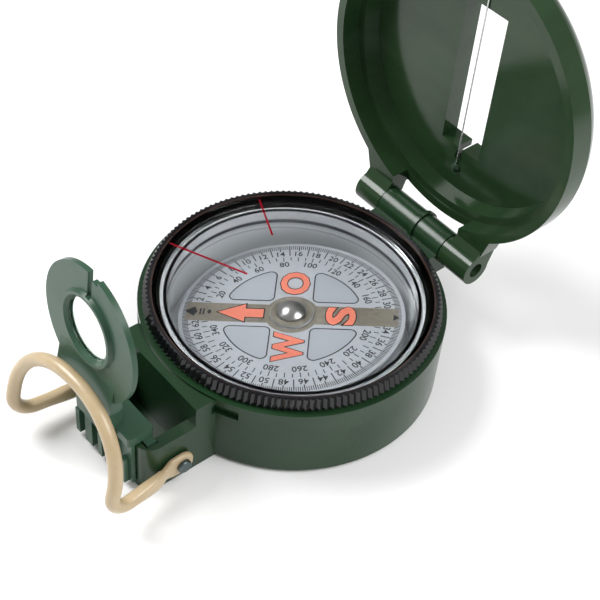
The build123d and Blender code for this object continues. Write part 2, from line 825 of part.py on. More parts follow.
with BuildPart() as thumb_loop:
    with BuildLine() as loop_path:
        FilletPolyline(
            *loop_corners,
            radius=[loop_bend_radius, loop_top_radius, loop_top_radius, loop_bend_radius],
        )
    with BuildSketch(loop_path.line ^ 0):
        Circle(loop_wire_radius)
    sweep()
    for side in (-1, 1):
        eye_plane = Plane(origin=(0, rivet_y, rivet_z), x_dir=(0, -1, 0), z_dir=(side, 0, 0))
        with BuildSketch(eye_plane.offset(eye_inner_x)):
            with Locations(((eye_length - eye_radius) / 2, 0)):
                SlotOverall(eye_length + eye_radius, 2 * eye_radius)
            Circle(rivet_radius + running_gap, mode=Mode.SUBTRACT)
        extrude(amount=eye_thickness)

# ---------------------------------------------------------------- files

os.makedirs("parts", exist_ok=True)

case.part.label = "case"
export_step(case.part, "parts/case.step")
capsule_bowl.part.label = "capsule_bowl"
export_step(capsule_bowl.part, "parts/capsule_bowl.step")
capsule_window.part.label = "capsule_window"
export_step(capsule_window.part, "parts/capsule_window.step")
capsule_seal.part.label = "capsule_seal"
export_step(capsule_seal.part, "parts/capsule_seal.step")
capsule_fill_plug.part.label = "capsule_fill_plug"
export_step(capsule_fill_plug.part, "parts/capsule_fill_plug.step")
pivot_pin.part.label = "pivot_pin"
export_step(pivot_pin.part, "parts/pivot_pin.step")
bezel_friction_ring.part.label = "bezel_friction_ring"
export_step(bezel_friction_ring.part, "parts/bezel_friction_ring.step")
loop_rivets.part.label = "loop_rivets"
export_step(loop_rivets.part, "parts/loop_rivets.step")
hinge_pin.part.label = "hinge_pin"
export_step(hinge_pin.part, "parts/hinge_pin.step")
compass_card.part.label = "compass_card"
export_step(compass_card.part, "parts/compass_card.step")
magnet_bar.part.label = "magnet_bar"
export_step(magnet_bar.part, "parts/magnet_bar.step")
pivot_cap.part.label = "pivot_cap"
export_step(pivot_cap.part, "parts/pivot_cap.step")
pivot_jewel.part.label = "pivot_jewel"
export_step(pivot_jewel.part, "parts/pivot_jewel.step")
bezel_ring.part.label = "bezel_ring"
export_step(bezel_ring.part, "parts/bezel_ring.step")
bezel_window.part.label = "bezel_window"
export_step(bezel_window.part, "parts/bezel_window.step")
window_retainer.part.label = "window_retainer"
export_step(window_retainer.part, "parts/window_retainer.step")
index_lines.part.label = "index_lines"
export_step(index_lines.part, "parts/index_lines.step")
lid.part.label = "lid"
export_step(lid.part, "parts/lid.step")
sight_wire.part.label = "sight_wire"
export_step(sight_wire.part, "parts/sight_wire.step")
wire_anchors.part.label = "wire_anchors"
export_step(wire_anchors.part, "parts/wire_anchors.step")
lens_slider.part.label = "lens_slider"
export_step(lens_slider.part, "parts/lens_slider.step")
lens_hinge_pin.part.label = "lens_hinge_pin"
export_step(lens_hinge_pin.part, "parts/lens_hinge_pin.step")
lens_plate.part.label = "lens_plate"
export_step(lens_plate.part, "parts/lens_plate.step")
magnifier_lens.part.label = "magnifier_lens"
export_step(magnifier_lens.part, "parts/magnifier_lens.step")
lens_retaining_ring.part.label = "lens_retaining_ring"
export_step(lens_retaining_ring.part, "parts/lens_retaining_ring.step")
thumb_loop.part.label = "thumb_loop"
export_step(thumb_loop.part, "parts/thumb_loop.step")
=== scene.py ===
import json
import math
from math import cos, pi, radians, sin

import bmesh
import bpy
from mathutils import Matrix, Vector


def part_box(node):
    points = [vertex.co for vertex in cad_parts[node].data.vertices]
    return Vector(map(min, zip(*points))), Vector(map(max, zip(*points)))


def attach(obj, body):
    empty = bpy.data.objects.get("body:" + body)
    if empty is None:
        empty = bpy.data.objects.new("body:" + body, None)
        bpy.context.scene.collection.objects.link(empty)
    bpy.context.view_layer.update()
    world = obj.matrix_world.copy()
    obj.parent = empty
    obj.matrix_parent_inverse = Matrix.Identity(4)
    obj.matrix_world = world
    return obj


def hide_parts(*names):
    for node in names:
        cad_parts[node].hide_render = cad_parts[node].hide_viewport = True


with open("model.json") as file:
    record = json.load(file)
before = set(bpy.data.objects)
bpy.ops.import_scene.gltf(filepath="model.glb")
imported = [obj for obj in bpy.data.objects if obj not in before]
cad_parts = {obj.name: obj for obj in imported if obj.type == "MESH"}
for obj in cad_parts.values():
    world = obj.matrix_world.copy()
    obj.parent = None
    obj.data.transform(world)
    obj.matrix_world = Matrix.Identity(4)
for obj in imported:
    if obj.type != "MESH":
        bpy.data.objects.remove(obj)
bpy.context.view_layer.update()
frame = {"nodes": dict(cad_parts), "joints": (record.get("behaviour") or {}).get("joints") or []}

NODES = frame["nodes"]
MM = 0.001

# ------------------------------------------------------------------ places taken from the frame


def joint(name):
    """A joint of the record by its name."""
    return next(j for j in frame["joints"] if j["name"] == name)


# ------------------------------------------------------------------ materials


class Nodes:
    """A small helper that builds a material's node tree."""

    def __init__(self, name):
        self.material = bpy.data.materials.new(name)
        self.material.use_nodes = True
        self.tree = self.material.node_tree
        self.shader = self.tree.nodes["Principled BSDF"]

    def set(self, **values):
        """Constants on the shader's own sockets."""
        for key, value in values.items():
            self.shader.inputs[key.replace("_", " ")].default_value = value
        return self

    def add(self, kind, **settings):
        node = self.tree.nodes.new(kind)
        for key, value in settings.items():
            if key in node.inputs:
                node.inputs[key].default_value = value
            else:
                setattr(node, key, value)
        return node

    def link(self, source, target):
        self.tree.links.new(source, target)

    def position(self, scale=(1, 1, 1)):
        """Object coordinates in metres, stretched by scale."""
        coordinates = self.add("ShaderNodeTexCoord")
        mapping = self.add("ShaderNodeMapping")
        mapping.inputs["Scale"].default_value = scale
        self.link(coordinates.outputs["Object"], mapping.inputs["Vector"])
        return mapping.outputs["Vector"]

    def noise(self, scale, detail=3.0, roughness=0.5, stretch=(1, 1, 1)):
        texture = self.add("ShaderNodeTexNoise", Scale=scale, Detail=detail, Roughness=roughness)
        self.link(self.position(stretch), texture.inputs["Vector"])
        return texture.outputs["Fac"]

    def ramp(self, value, stops):
        """A colour ramp with (place, colour) stops."""
        node = self.add("ShaderNodeValToRGB")
        elements = node.color_ramp.elements
        while len(elements) < len(stops):
            elements.new(0.5)
        for element, (place, colour) in zip(elements, stops):
            element.position = place
            element.color = (*colour, 1)
        self.link(value, node.inputs["Fac"])
        return node.outputs["Color"]

    def rough(self, value, low, high):
        """Roughness that runs from low to high with a value."""
        node = self.add("ShaderNodeMapRange")
        node.inputs["To Min"].default_value = low
        node.inputs["To Max"].default_value = high
        self.link(value, node.inputs["Value"])
        self.link(node.outputs["Result"], self.shader.inputs["Roughness"])

    def bump(self, value, strength, distance):
        node = self.add("ShaderNodeBump", Strength=strength, Distance=distance)
        self.link(value, node.inputs["Height"])
        self.link(node.outputs["Normal"], self.shader.inputs["Normal"])

    def colour(self, output):
        self.link(output, self.shader.inputs["Base Color"])


def green_plastic(name, dark, light, low_rough, high_rough):
    """Glossy moulded plastic: faint flow marks, fine scuffs and a soft orange peel."""
    m = Nodes(name)
    flow = m.noise(60, 4, 0.55, (1, 1, 2.5))
    m.colour(m.ramp(flow, [(0.3, dark), (0.7, light)]))
    m.rough(m.noise(420, 5, 0.6), low_rough, high_rough)
    m.bump(m.noise(900, 2), 0.12, 0.00006)
    m.set(Specular_IOR_Level=0.36, IOR=1.49)
    return m.material


def black_plastic(name, colour, low_rough, high_rough):
    """Glossy dark plastic with fine handling marks."""
    m = Nodes(name)
    lighter = tuple(min(1, c * 1.8 + 0.004) for c in colour)
    m.colour(m.ramp(m.noise(250, 4), [(0.35, colour), (0.75, lighter)]))
    m.rough(m.noise(700, 5, 0.6), low_rough, high_rough)
    m.bump(m.noise(1500, 2), 0.1, 0.00004)
    m.set(Specular_IOR_Level=0.35, Coat_Weight=0.15, Coat_Roughness=0.06)
    return m.material


def clear_plastic(name, tint, rough):
    """Clear polished plastic, thin enough to be looked through without a bend."""
    m = Nodes(name)
    m.colour(m.ramp(m.noise(40, 2), [(0.3, tint), (0.7, tuple(min(1, c * 1.01) for c in tint))]))
    m.rough(m.noise(900, 4), rough * 0.6, rough * 1.4)
    m.set(Transmission_Weight=1.0, IOR=1.12, Specular_IOR_Level=0.9)
    return m.material


def metal(name, colour, low_rough, high_rough):
    """Bare metal with a slightly uneven polish."""
    m = Nodes(name)
    lighter = tuple(min(1, c * 1.25) for c in colour)
    m.colour(m.ramp(m.noise(350, 4, 0.6), [(0.3, colour), (0.75, lighter)]))
    m.rough(m.noise(800, 5, 0.6), low_rough, high_rough)
    m.bump(m.noise(1600, 3), 0.15, 0.00004)
    m.set(Metallic=1.0)
    return m.material


def enamel(name, dark, light):
    """Smooth tan coating on bent wire, in slightly darker and lighter patches."""
    m = Nodes(name)
    m.colour(m.ramp(m.noise(130, 4, 0.6), [(0.25, dark), (0.7, light)]))
    m.rough(m.noise(500, 4), 0.28, 0.42)
    m.bump(m.noise(700, 3), 0.15, 0.00008)
    m.set(Coat_Weight=0.25, Coat_Roughness=0.2)
    return m.material


def paint(name, colour, rough=0.5, spread=1.15, painted_glow=0.0):
    """Printing ink or paint with a slight unevenness; the last value gives it a painted glow in its own
    colour, though it is no lamp.
    """
    m = Nodes(name)
    other = tuple(min(1, c * spread) for c in colour)
    m.colour(m.ramp(m.noise(900, 3), [(0.3, colour), (0.7, other)]))
    m.rough(m.noise(1200, 3), rough * 0.85, min(1, rough * 1.15))
    m.set(Emission_Color=(*colour, 1), Emission_Strength=painted_glow)
    return m.material


def capsule_wall(name):
    """Pale glossy capsule wall with faint grey rings at several heights, painted reflections of the
    card's ticks, and one dark ring.
    """
    m = Nodes(name)
    low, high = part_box("capsule_bowl")
    split = m.add("ShaderNodeSeparateXYZ")
    m.link(m.position(), split.inputs["Vector"])
    height = m.add("ShaderNodeMapRange")
    height.inputs["From Min"].default_value = low.z
    height.inputs["From Max"].default_value = high.z
    m.link(split.outputs["Z"], height.inputs["Value"])
    # ring is the grey of the painted reflections of the card's ticks on the wall
    pale, ring, dark = (0.86, 0.88, 0.91), (0.50, 0.52, 0.56), (0.06, 0.06, 0.07)
    shares = ((0.0, pale), (0.66, pale), (0.68, ring), (0.70, pale), (0.745, pale), (0.757, ring),
              (0.77, pale), (0.79, dark), (0.835, dark), (0.85, ring), (0.87, pale), (1.0, pale))
    m.colour(m.ramp(height.outputs["Result"], shares))
    m.rough(m.noise(300, 3), 0.08, 0.16)
    m.set(Metallic=0.12, Coat_Weight=0.6, Coat_Roughness=0.05)
    return m.material


GREEN = green_plastic("green_case", (0.009, 0.031, 0.012), (0.016, 0.044, 0.018), 0.18, 0.28)
# the lens parts take a lighter green than the case, painted in for the light that falls on them; their
# rougher satin finish is their own
GREEN_SATIN_PAINTED_LIGHTER = green_plastic("green_lens_painted_lighter", (0.022, 0.062, 0.036), (0.034, 0.084, 0.050), 0.26, 0.38)
GREEN_LID = green_plastic("green_lid", (0.013, 0.035, 0.013), (0.023, 0.051, 0.020), 0.1, 0.17)
BLACK = black_plastic("black_bezel", (0.003, 0.003, 0.004), 0.08, 0.16)
BROWN_BLACK = black_plastic("brown_black_band", (0.022, 0.012, 0.010), 0.12, 0.24)
CLEAR = clear_plastic("clear_cover", (0.97, 0.98, 0.98), 0.03)
LENS = clear_plastic("lens_clear", (0.93, 0.97, 0.95), 0.02)
WHITE = capsule_wall("capsule_white")
CARD = paint("card_silver", (0.47, 0.485, 0.525), 0.4, 1.06)
STEEL = metal("steel", (0.55, 0.55, 0.55), 0.12, 0.28)
CAP_STEEL = metal("cap_steel", (0.40, 0.39, 0.38), 0.24, 0.38)
DARK_STEEL = metal("dark_steel", (0.10, 0.13, 0.13), 0.3, 0.5)
BRASS = metal("brass", (0.7, 0.5, 0.25), 0.2, 0.35)
MAGNET = metal("magnet_alloy", (0.25, 0.23, 0.21), 0.4, 0.6)
# the red index lines get a painted glow that brightens them
RED = paint("red_line", (0.66, 0.010, 0.045), 0.4, 1.2, 0.15)
TAN = enamel("tan_wire", (0.40, 0.30, 0.17), (0.53, 0.41, 0.25))
RUBBER = paint("seal_pale", (0.50, 0.52, 0.55), 0.6, 1.1)
INK = paint("dial_ink", (0.018, 0.018, 0.022), 0.6, 1.3)
# the luminous marks get a faint painted glow on top of their salmon paint
SALMON = paint("luminous_salmon_painted_glow", (0.80, 0.22, 0.145), 0.55, 1.04, 0.05)
BAND = paint("magnet_band", (0.215, 0.19, 0.155), 0.3, 1.2)
WINDOW = paint("clear_card_windows", (0.46, 0.48, 0.53), 0.25, 1.03)

CAD_LOOKS = {
    "case": GREEN,
    "capsule_bowl": WHITE,
    "capsule_window": CLEAR,
    "capsule_seal": RUBBER,
    "capsule_fill_plug": CLEAR,
    "pivot_pin": STEEL,
    "bezel_friction_ring": STEEL,
    "loop_rivets": DARK_STEEL,
    "hinge_pin": DARK_STEEL,
    "compass_card": CARD,
    "magnet_bar": MAGNET,
    "pivot_cap": CAP_STEEL,
    "pivot_jewel": BRASS,
    "bezel_ring": BLACK,
    "bezel_window": CLEAR,
    "index_lines": RED,
    "window_retainer": BROWN_BLACK,
    "lid": GREEN_LID,
    "sight_wire": STEEL,
    "wire_anchors": GREEN,
    "lens_slider": GREEN_SATIN_PAINTED_LIGHTER,
    "lens_hinge_pin": DARK_STEEL,
    "lens_plate": GREEN_SATIN_PAINTED_LIGHTER,
    "magnifier_lens": LENS,
    "lens_retaining_ring": GREEN_SATIN_PAINTED_LIGHTER,
    "thumb_loop": TAN,
}


def dress_cad_nodes():
    """Gives each carried-over CAD node its finished material."""
    for node, material in CAD_LOOKS.items():
        slots = NODES[node].material_slots
        if not slots:
            NODES[node].data.materials.append(material)
        for slot in slots:
            slot.material = material


# ------------------------------------------------------------------ mesh helpers


def prism(mesh, outline, low, high):
    """A flat closed piece between two heights, from its outline in order."""
    lower = [mesh.verts.new((x, y, low)) for x, y in outline]
    upper = [mesh.verts.new((x, y, high)) for x, y in outline]
    mesh.faces.new(lower[::-1])
    mesh.faces.new(upper)
    for index in range(len(outline)):
        after = (index + 1) % len(outline)
        mesh.faces.new((lower[index], lower[after], upper[after], upper[index]))


def band(mesh, inner, outer, low, high):
    """A closed flat band between two outlines with the same number of points."""
    loops = [
        [mesh.verts.new((x, y, z)) for x, y in outline]
        for outline, z in ((inner, low), (outer, low), (outer, high), (inner, high))
    ]
    count = len(inner)
    for index in range(count):
        after = (index + 1) % count
        for first, second in zip(loops, loops[1:] + loops[:1]):
            mesh.faces.new((first[index], second[index], second[after], first[after]))


def join_rings(mesh, rings):
    """A closed skin over a row of rings that have the same number of vertices."""
    count = len(rings[0])
    for first, second in zip(rings, rings[1:]):
        for index in range(count):
            after = (index + 1) % count
            mesh.faces.new((first[index], first[after], second[after], second[index]))
    mesh.faces.new(rings[0][::-1])
    mesh.faces.new(rings[-1])


def finish_piece(name, mesh, material, body, smooth=False):
    """Turns a bmesh into a named piece that rides on a body."""
    bmesh.ops.recalc_face_normals(mesh, faces=mesh.faces)
    data = bpy.data.meshes.new(name)
    mesh.to_mesh(data)
    mesh.free()
    for face in data.polygons:
        face.use_smooth = smooth
    data.materials.append(material)
    piece = bpy.data.objects.new(name, data)
    bpy.context.scene.collection.objects.link(piece)
    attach(piece, body)
    return piece


def add_glyphs(mesh, text, place, up, height, width=None, offset=0.0, low=0.0, high=0.0, grow=0.0):
    """Adds letters or figures as thin solid shapes: place is their middle, up their top."""
    data = bpy.data.curves.new("glyphs", "FONT")
    data.body = text
    data.align_x = "CENTER"
    data.resolution_u = 3
    data.offset = offset
    data.dimensions = "2D"
    data.fill_mode = "FRONT"
    holder = bpy.data.objects.new("glyphs", data)
    bpy.context.scene.collection.objects.link(holder)
    bpy.context.view_layer.update()
    flat = bpy.data.meshes.new_from_object(holder.evaluated_get(bpy.context.evaluated_depsgraph_get()))
    bpy.data.objects.remove(holder)
    xs = [v.co.x for v in flat.vertices]
    ys = [v.co.y for v in flat.vertices]
    middle = ((min(xs) + max(xs)) / 2, (min(ys) + max(ys)) / 2)
    scale_y = (height + grow) / (max(ys) - min(ys))
    scale_x = scale_y if width is None else (width + grow) / (max(xs) - min(xs))
    right = (up[1], -up[0])
    part = bmesh.new()
    part.from_mesh(flat)
    bpy.data.meshes.remove(flat)
    bmesh.ops.remove_doubles(part, verts=part.verts, dist=1e-5)
    for vert in part.verts:
        across = (vert.co.x - middle[0]) * scale_x
        along = (vert.co.y - middle[1]) * scale_y
        vert.co = (
            place[0] + right[0] * across + up[0] * along,
            place[1] + right[1] * across + up[1] * along,
            low,
        )
    raised = bmesh.ops.extrude_face_region(part, geom=part.faces[:])
    for element in raised["geom"]:
        if isinstance(element, bmesh.types.BMVert):
            element.co.z = high
    copies = {vert: mesh.verts.new(vert.co) for vert in part.verts}
    for face in part.faces:
        mesh.faces.new([copies[vert] for vert in face.verts])
    part.free()


# ------------------------------------------------------------------ the card's printing

NORTH_ANGLE = 225.9
CARD_JOINT = joint("card_turn")
CARD_PIVOT = Vector(CARD_JOINT["pos_m"])
CARD_TILT = (
    Matrix.Translation(CARD_PIVOT)
    @ Vector((0, 0, 1)).rotation_difference(Vector(CARD_JOINT["axis"])).to_matrix().to_4x4()
    @ Matrix.Translation(-CARD_PIVOT)
)
# the card's face stands below the point that it turns on; one layer of print is PRINT thick
CARD_TOP = CARD_PIVOT.z - 0.65 * MM
PRINT = 0.02 * MM
HUB_HEIGHT = 0.5 * MM
# radii and sizes below are in millimetres; a pair is a stroke's inner and outer end
SCALE_COUNT = 64
EDGE_COUNT = 5 * SCALE_COUNT
DEGREE_STEP = 5
EDGE_STROKE = 0.15
SCALE_STROKE = 0.2
DEGREE_STROKE = 0.17
EDGE_TICKS = (19.0, 20.1)
LONG_TICKS = (17.1, 20.1)
SHORT_TICKS = (18.5, 20.1)
DEGREE_TICKS = (15.7, 16.6)
DEGREE_LONG_TICKS = (15.4, 16.6)
OUTER_FIGURES = 17.7
INNER_FIGURES = 14.5
FIGURE_HEIGHT = 1.38
FIGURE_WEIGHT = 0.012
LETTER_HEIGHT = 5.5
LETTER_WEIGHT = 0.036
OUTLINE_WEIGHT = 0.062
OUTLINE_GROWTH = 0.36
WINDOW_NEAR = 3.5
WINDOW_REACH = 13.1
WINDOW_CORNER = 1.2
WINDOW_LINE = 0.24
WINDOW_LAYER = 0.8
BAND_HALF_WIDTH = 2.5
BAND_START = 3.6
BAND_END = 19.5
COLLAR_RADIUS = 5.0
HUB_RADIUS = 3.95
# each letter with its bearing, width and distance from the centre
LETTERS = (("O", 90, 6.4, 8.8), ("S", 180, 5.1, 9.0), ("W", 270, 7.8, 8.8))


def finish_print(name, mesh, material):
    """A printed piece, made level and then tilted with the card."""
    mesh.transform(CARD_TILT)
    finish_piece(name, mesh, material, "card_body")


def bearing_point(bearing, radius):
    """A point on the card at a bearing, clockwise from north, in metres."""
    angle = radians(NORTH_ANGLE - bearing)
    return (radius * MM * cos(angle), radius * MM * sin(angle))


def north_point(along, across):
    """A point by its distance towards north and towards east, in metres."""
    north = bearing_point(0, 1)
    east = bearing_point(90, 1)
    return (along * north[0] + across * east[0], along * north[1] + across * east[1])


def tick(mesh, bearing, reach, width):
    """One printed stroke that points away from the card's centre."""
    inner, outer = reach
    half = width / 2
    corners = []
    for radius, side in ((inner, -half), (outer, -half), (outer, half), (inner, half)):
        x, y = bearing_point(bearing, radius)
        dx, dy = bearing_point(bearing + 90, side)
        corners.append((x + dx, y + dy))
    prism(mesh, corners, CARD_TOP, CARD_TOP + PRINT)


def add_scales():
    """The two rings of ticks, with figures by twos outside and by twenties inside."""
    mesh = bmesh.new()
    for step in range(EDGE_COUNT):
        if step % (EDGE_COUNT // SCALE_COUNT):
            tick(mesh, step * 360 / EDGE_COUNT, EDGE_TICKS, EDGE_STROKE)
    for step in range(SCALE_COUNT):
        bearing = step * 360 / SCALE_COUNT
        tick(mesh, bearing, LONG_TICKS if step % 2 else SHORT_TICKS, SCALE_STROKE)
    for bearing in range(DEGREE_STEP, 360, DEGREE_STEP):
        reach = DEGREE_TICKS if bearing % (2 * DEGREE_STEP) else DEGREE_LONG_TICKS
        tick(mesh, bearing, reach, DEGREE_STROKE)
    finish_print("card_scale_ticks", mesh, INK)
    mesh = bmesh.new()
    outer = [(number, number * 360 / SCALE_COUNT, OUTER_FIGURES) for number in range(2, SCALE_COUNT, 2)]
    inner = [(number, number, INNER_FIGURES) for number in range(20, 360, 20)]
    for number, bearing, radius in outer + inner:
        add_glyphs(
            mesh, str(number), bearing_point(bearing, radius), bearing_point(bearing, 1 / MM),
            FIGURE_HEIGHT * MM, low=CARD_TOP, high=CARD_TOP + PRINT, offset=FIGURE_WEIGHT,
        )
    finish_print("card_figures", mesh, INK)


def window_outline(inset):
    """A rounded quarter disc between two of the card's axes, drawn in from its edge by inset."""
    near = WINDOW_NEAR + inset
    reach = WINDOW_REACH - inset
    corner = WINDOW_CORNER - inset
    steps = 5
    outline = []
    # corner nearest the hub
    for index in range(steps + 1):
        turn = radians(270 - 90 * index / steps)
        outline.append((near + corner + corner * cos(turn), near + corner + corner * sin(turn)))
    # the far corners are tangent to the arc and to one straight side each
    side = near + corner
    far = math.sqrt((reach - corner) ** 2 - side**2)
    tilt = math.atan2(far, side)
    for index in range(steps + 1):
        turn = pi - (pi - tilt) * index / steps
        outline.append((side + corner * cos(turn), far + corner * sin(turn)))
    arc_steps = 14
    for index in range(1, arc_steps):
        turn = tilt + (pi / 2 - tilt - tilt) * index / arc_steps
        outline.append((reach * cos(turn), reach * sin(turn)))
    for index in range(steps + 1):
        turn = (pi / 2 - tilt) - (pi - tilt) * index / steps
        outline.append((far + corner * cos(turn), side + corner * sin(turn)))
    return outline


def turned(outline, bearing):
    """An outline placed on the card with its first axis at a bearing."""
    points = []
    for x, y in outline:
        a = bearing_point(bearing, x)
        b = bearing_point(bearing + 90, y)
        points.append((a[0] + b[0], a[1] + b[1]))
    return points


def add_windows():
    """Four unprinted quarter windows with a thin dark outline that stands a little higher."""
    lines = bmesh.new()
    fills = bmesh.new()
    for bearing in range(0, 360, 90):
        inner = turned(window_outline(WINDOW_LINE), bearing)
        outer = turned(window_outline(0), bearing)
        band(lines, inner, outer, CARD_TOP, CARD_TOP + PRINT)
        prism(fills, inner, CARD_TOP, CARD_TOP + WINDOW_LAYER * PRINT)
    finish_print("card_window_outlines", lines, INK)
    finish_print("card_windows", fills, WINDOW)


def shape(mesh, points, level, base=0.0):
    """A flat printed shape from its points towards north and east, between two layers."""
    outline = [north_point(*point) for point in points]
    prism(mesh, outline, CARD_TOP + base * PRINT, CARD_TOP + level * PRINT)


def disc(radius, count=48):
    """The points of a round outline."""
    turns = [2 * pi * step / count for step in range(count)]
    return [(radius * cos(turn), radius * sin(turn)) for turn in turns]


def add_letters(mesh, level, weight, grow=0.0):
    """The three letters, up to a layer; weight and grow make them fatter and larger."""
    for letter, bearing, width, radius in LETTERS:
        add_glyphs(
            mesh, letter, bearing_point(bearing, radius), bearing_point(0, 1 / MM),
            LETTER_HEIGHT * MM, width * MM, weight, CARD_TOP, CARD_TOP + level * PRINT, grow,
        )


def add_needle_print():
    """The north to south band with its hub, the arrow, the letters and the end marks.

    Millimetres towards north and towards east; heights are in layers of print.
    """
    mesh = bmesh.new()
    half, start, end = BAND_HALF_WIDTH, BAND_START, BAND_END
    shape(mesh, ((start, half), (end, half), (end, -half), (start, -half)), 1.2)
    shape(mesh, ((-start, -half), (-end, -half), (-end, half), (-start, half)), 1.2)
    shape(mesh, disc(COLLAR_RADIUS), 1.4)
    hub_base = HUB_HEIGHT / PRINT
    shape(mesh, disc(HUB_RADIUS), hub_base + 1, hub_base)
    finish_print("card_needle_band", mesh, BAND)

    mesh = bmesh.new()
    tip, barb, tail, wing, stem = 13.6, 8.6, 5.2, 2.4, 1.15
    arrow = (
        (tip, 0), (barb, wing), (barb, stem), (tail, stem),
        (tail, -stem), (barb, -stem), (barb, -wing),
    )
    rim = 0.22
    outline = (
        (tip + 2 * rim, 0), (barb - rim, wing + 1.6 * rim), (barb - rim, stem + rim),
        (tail - rim, stem + rim), (tail - rim, -stem - rim), (barb - rim, -stem - rim),
        (barb - rim, -wing - 1.6 * rim),
    )
    shape(mesh, outline, 2.0)
    add_letters(mesh, 2, OUTLINE_WEIGHT, OUTLINE_GROWTH * MM)
    # dark tips at the two ends of the band, then two bars and a spot near the north one
    shape(mesh, ((19.7, 0), (18.0, 1.3), (17.4, 0), (18.0, -1.3)), 2.0)
    shape(mesh, ((-19.8, 0), (-18.6, 0.8), (-18.6, -0.8)), 2.0)
    for start in (16.1, 16.7):
        shape(mesh, ((start, 0.8), (start + 0.3, 0.8), (start + 0.3, -0.8), (start, -0.8)), 2.0)
    spot = [(15.2 + 0.35 * cos(pi * step / 6), 0.55 * sin(pi * step / 6)) for step in range(12)]
    shape(mesh, spot, 2.0)
    finish_print("card_dark_outlines", mesh, INK)

    mesh = bmesh.new()
    shape(mesh, arrow, 3.0)
    add_letters(mesh, 3, LETTER_WEIGHT)
    finish_print("card_luminous_marks", mesh, SALMON)


# ------------------------------------------------------------------ the magnifier

LENS_LEAN = radians(4.5)
LENS_CLEARANCE = 0.02 * MM
LENS_GLASS_RADIUS = 5.35 * MM
LENS_EDGE_HALF = 0.19 * MM
LENS_RIM_HALF = 0.2 * MM
LENS_BULGE = 0.27 * MM
LENS_STEPS = 12


def add_lens():
    """A double convex lens turned about the lens seat's axis."""
    low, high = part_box("magnifier_lens")
    centre = (low + high) / 2
    outward = Vector((0, -cos(LENS_LEAN), sin(LENS_LEAN)))
    upward = Vector((0, sin(LENS_LEAN), cos(LENS_LEAN)))
    across = Vector((1, 0, 0))
    # one side, from the edge of the seated rim to a tiny flat in the middle
    profile = [((high.x - low.x) / 2 - LENS_CLEARANCE, LENS_EDGE_HALF)]
    for step in range(LENS_STEPS + 1):
        share = 1 - step / LENS_STEPS
        height = LENS_RIM_HALF + LENS_BULGE * (1 - share**2)
        profile.append((max(share, 0.02) * LENS_GLASS_RADIUS, height))
    # the two sides meet at the rim, so the rings run from one middle to the other
    section = profile[::-1] + [(reach, -height) for reach, height in profile]
    mesh = bmesh.new()
    around = 64
    rings = []
    for reach, height in section:
        ring = []
        for index in range(around):
            turn = 2 * pi * index / around
            place = centre + across * reach * cos(turn) + upward * reach * sin(turn)
            ring.append(mesh.verts.new(place + outward * height))
        rings.append(ring)
    join_rings(mesh, rings)
    lens = finish_piece("magnifier_glass", mesh, LENS, "lens_body", smooth=True)
    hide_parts("magnifier_lens")


# ------------------------------------------------------------------ the thumb loop

# the loop is laid out in millimetres
RIVET_Y = -33.3
RIVET_Z = 4.3
EYE_X = 11.7
EYE_RADIUS = 2.3
WIRE_RADIUS = 1.25
# where the flat end stops being straight and where it leaves the arm, behind the rivet
EYE_STRAIGHT = 2.6
NECK_BACK = 6.0
NECK_OUT = 0.95
NECK_UP = 0.05
LOOP_LEAN = radians(12)
LOOP_HEIGHT = 19.4
LOOP_HALF_WIDTH = 13.9
LOOP_BENDS = {1: -49.5, -1: -51.0}
BEND_Z = 4.9
LOOP_CORNER_RADII = (5.0, 5.0, 4.0, 13.2, 13.2, 4.0, 5.0, 5.0)
LOOP_ARC_STEP = radians(4)
LOOP_RING_SPACING = 0.3
# distance from the rivet along the wire, half thickness and half height there
LOOP_STATIONS = (
    (-2.3, 0.25, 0.4), (-2.2, 0.42, 0.9), (-1.9, 0.5, 1.45), (-1.3, 0.55, 1.95),
    (-0.5, 0.55, 2.22), (0.8, 0.55, 2.25), (2.2, 0.55, 2.1), (3.2, 0.58, 1.5),
    (3.9, 0.66, 1.15), (4.8, 0.78, 1.45), (6.2, 0.9, 1.6), (7.8, 1.05, 1.5), (10.5, 1.25, 1.25),
)


def rounded_path(corners, radii, step):
    """Points along straight runs whose corners are rounded by arcs."""
    points = [corners[0]]
    for before, corner, after, radius in zip(corners, corners[1:], corners[2:], radii):
        back = (before - corner).normalized()
        ahead = (after - corner).normalized()
        half_angle = back.angle(ahead) / 2
        reach = radius / math.tan(half_angle)
        centre = corner + (back + ahead).normalized() * radius / sin(half_angle)
        start = corner + back * reach - centre
        end = corner + ahead * reach - centre
        turn = start.angle(end)
        count = max(3, int(turn / step))
        for index in range(count + 1):
            share = index / count
            spoke = (sin((1 - share) * turn) * start + sin(share * turn) * end) / sin(turn)
            points.append(centre + spoke)
    points.append(corners[-1])
    return points


def evenly(points, spacing):
    """The same path with points an even distance apart, and their distances."""
    lengths = [0.0]
    for first, second in zip(points, points[1:]):
        lengths.append(lengths[-1] + (second - first).length)
    count = int(lengths[-1] / spacing)
    places, distances = [], []
    run = 0
    for index in range(count + 1):
        distance = lengths[-1] * index / count
        while run < len(points) - 2 and lengths[run + 1] < distance:
            run += 1
        share = (distance - lengths[run]) / max(1e-9, lengths[run + 1] - lengths[run])
        places.append(points[run].lerp(points[run + 1], share))
        distances.append(distance)
    return places, distances


def station(distance):
    """Half thickness and half height of the strip at a distance from the rivet."""
    for (near, thin, tall), (far, thin_after, tall_after) in zip(LOOP_STATIONS, LOOP_STATIONS[1:]):
        if distance <= far:
            share = max(0.0, (distance - near) / (far - near))
            return thin + share * (thin_after - thin), tall + share * (tall_after - tall)
    return WIRE_RADIUS, WIRE_RADIUS


